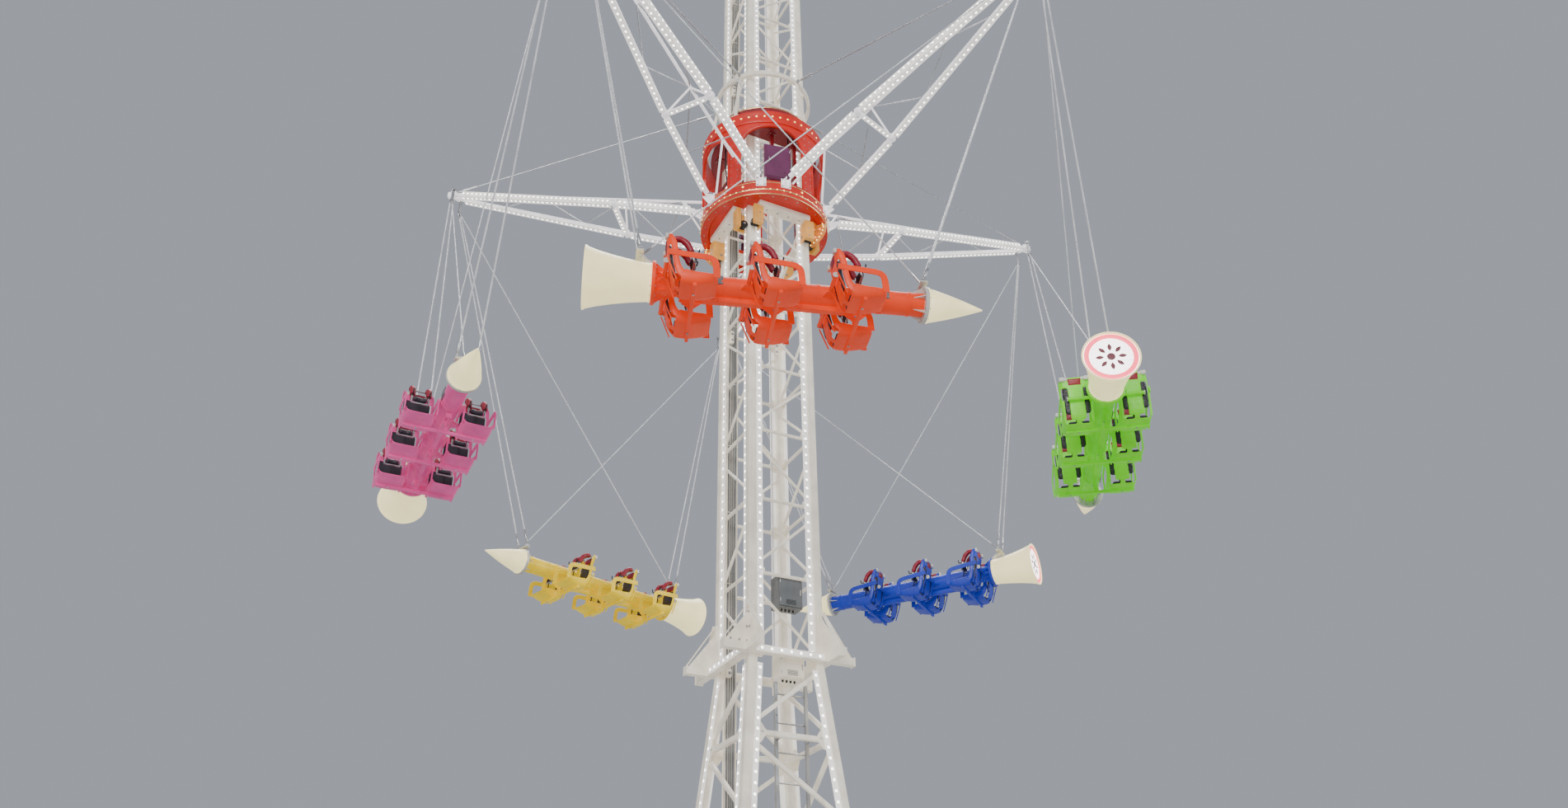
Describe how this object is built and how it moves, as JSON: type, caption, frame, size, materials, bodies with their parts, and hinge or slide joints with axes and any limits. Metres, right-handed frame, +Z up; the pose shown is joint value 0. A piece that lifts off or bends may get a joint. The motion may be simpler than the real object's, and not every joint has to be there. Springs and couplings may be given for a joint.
{
  "type": "tower chair swing ride",
  "caption": "Lattice tower ride: a climbing carriage turns arms that carry rocket-shaped gondolas of seats on cables.",
  "frame": {"origin": "on the ground under the middle of the mast, on the underside of the ground frame", "axes": "+Z up along the mast; +X and +Y square to the mast's faces, with the ladder of the base inside the -Y face and arm 1 along +X"},
  "size_m": [13.4443, 13.5761, 29.3058],
  "materials": {
    "white_frame": "satin white paint",
    "red_head": "gloss red paint",
    "bracket_paint": "satin orange-cream paint",
    "galvanised": "galvanised steel",
    "grey_box": "satin dark grey paint",
    "cream_shell": "gloss cream glass fibre",
    "blue_boom": "gloss blue paint",
    "blue_seat": "gloss blue glass fibre",
    "yellow_boom": "gloss yellow paint",
    "yellow_seat": "gloss yellow glass fibre",
    "pink_boom": "gloss pink paint",
    "pink_seat": "gloss pink glass fibre",
    "red_boom": "gloss red paint",
    "red_seat": "gloss red glass fibre",
    "green_boom": "gloss green paint",
    "green_seat": "gloss green glass fibre"
  },
  "bodies": {
    "tower": {"ground_frame": "white_frame", "outrigger_1": "white_frame", "outrigger_2": "white_frame", "outrigger_3": "white_frame", "outrigger_4": "white_frame", "base_lattice": "white_frame", "collar_frame": "white_frame", "access_ladder": "galvanised", "collar_cabinet": "white_frame", "mast_control_box": "grey_box", "hoist_rope_loop": "galvanised", "hoist_winch": "galvanised", "mast_lower_section": "white_frame", "mast_middle_section": "white_frame", "mast_upper_section": "white_frame", "mast_head": "white_frame", "head_sheave": "galvanised", "top_beacon": "red_head"},
    "carriage": {"carriage_cage": "red_head", "guide_roller_unit_1": "bracket_paint", "guide_roller_unit_2": "bracket_paint", "guide_roller_unit_3": "bracket_paint", "guide_roller_unit_4": "bracket_paint"},
    "turning_head": {"head_lower_ring": "red_head", "head_shell": "red_head", "stay_ring": "white_frame", "arm_1": "white_frame", "arm_2": "white_frame", "arm_3": "white_frame", "arm_4": "white_frame", "arm_5": "white_frame"},
    "blue_gondola": {"blue_gondola_boom": "blue_boom", "blue_gondola_nose": "cream_shell", "blue_gondola_tail": "cream_shell", "blue_gondola_seats": "blue_seat", "blue_gondola_cables": "galvanised"},
    "yellow_gondola": {"yellow_gondola_boom": "yellow_boom", "yellow_gondola_nose": "cream_shell", "yellow_gondola_tail": "cream_shell", "yellow_gondola_seats": "yellow_seat", "yellow_gondola_cables": "galvanised"},
    "pink_gondola": {"pink_gondola_boom": "pink_boom", "pink_gondola_nose": "cream_shell", "pink_gondola_tail": "cream_shell", "pink_gondola_seats": "pink_seat", "pink_gondola_cables": "galvanised"},
    "red_gondola": {"red_gondola_boom": "red_boom", "red_gondola_nose": "cream_shell", "red_gondola_tail": "cream_shell", "red_gondola_seats": "red_seat", "red_gondola_cables": "galvanised"},
    "green_gondola": {"green_gondola_boom": "green_boom", "green_gondola_nose": "cream_shell", "green_gondola_tail": "cream_shell", "green_gondola_seats": "green_seat", "green_gondola_cables": "galvanised"}
  },
  "joints": [
    {"name": "carriage_lift", "type": "slide", "parent": "tower", "child": "carriage", "axis": [0, 0, 1], "range_m": [-7.4, 7]},
    {"name": "head_spin", "type": "hinge", "parent": "carriage", "child": "turning_head", "pos_m": [0, 0, 16.8], "axis": [0, 0, 1], "continuous": true},
    {"name": "blue_gondola_swing", "type": "hinge", "parent": "turning_head", "child": "blue_gondola", "pos_m": [4.59465, 3.33821, 18.62], "axis": [0.5878, -0.809, 0], "range_deg": [-8, 50]},
    {"name": "yellow_gondola_swing", "type": "hinge", "parent": "turning_head", "child": "yellow_gondola", "pos_m": [-1.755, 5.40134, 18.62], "axis": [0.9511, 0.309, 0], "range_deg": [-8, 50]},
    {"name": "pink_gondola_swing", "type": "hinge", "parent": "turning_head", "child": "pink_gondola", "pos_m": [-5.6793, 0, 18.62], "axis": [0, 1, 0], "range_deg": [-8, 50]},
    {"name": "red_gondola_swing", "type": "hinge", "parent": "turning_head", "child": "red_gondola", "pos_m": [-1.755, -5.40134, 18.62], "axis": [-0.9511, 0.309, 0], "range_deg": [-8, 50]},
    {"name": "green_gondola_swing", "type": "hinge", "parent": "turning_head", "child": "green_gondola", "pos_m": [4.59465, -3.33821, 18.62], "axis": [-0.5878, -0.809, 0], "range_deg": [-8, 50]}
  ]
}
